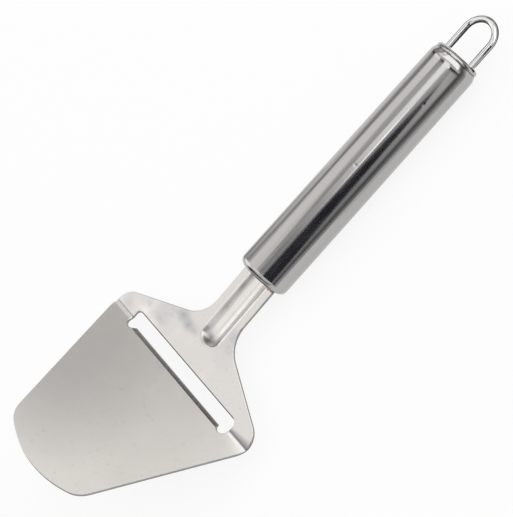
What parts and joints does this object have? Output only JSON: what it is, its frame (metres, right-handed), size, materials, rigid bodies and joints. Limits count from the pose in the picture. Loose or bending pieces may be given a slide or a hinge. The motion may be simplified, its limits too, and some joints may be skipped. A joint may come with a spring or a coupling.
{
  "type": "cheese slicer",
  "caption": "Hand-held cheese slicer: fan-shaped bent steel blade with a cross slot and cutting lip, ribbed shank, hollow round steel handle and wire hanging loop.",
  "frame": {"origin": "middle of the bottom of the overall box", "axes": "+X along the handle's axis towards the hanging loop, with the blade's tip at -X; Y is the blade's width; +Z is the side that the cut slices slide over"},
  "size_m": [0.2198, 0.0846, 0.0404],
  "materials": {
    "blade_steel": "satin stainless sheet",
    "handle_steel": "polished stainless with fine lengthwise grain",
    "wire_steel": "polished stainless wire",
    "insert_plastic": "moulded, hidden"
  },
  "bodies": {
    "root": {"blade": "blade_steel", "front_cap": "handle_steel", "handle_tube": "handle_steel", "tang_insert": "insert_plastic", "end_cap": "handle_steel", "hanging_loop": "wire_steel"}
  },
  "joints": []
}
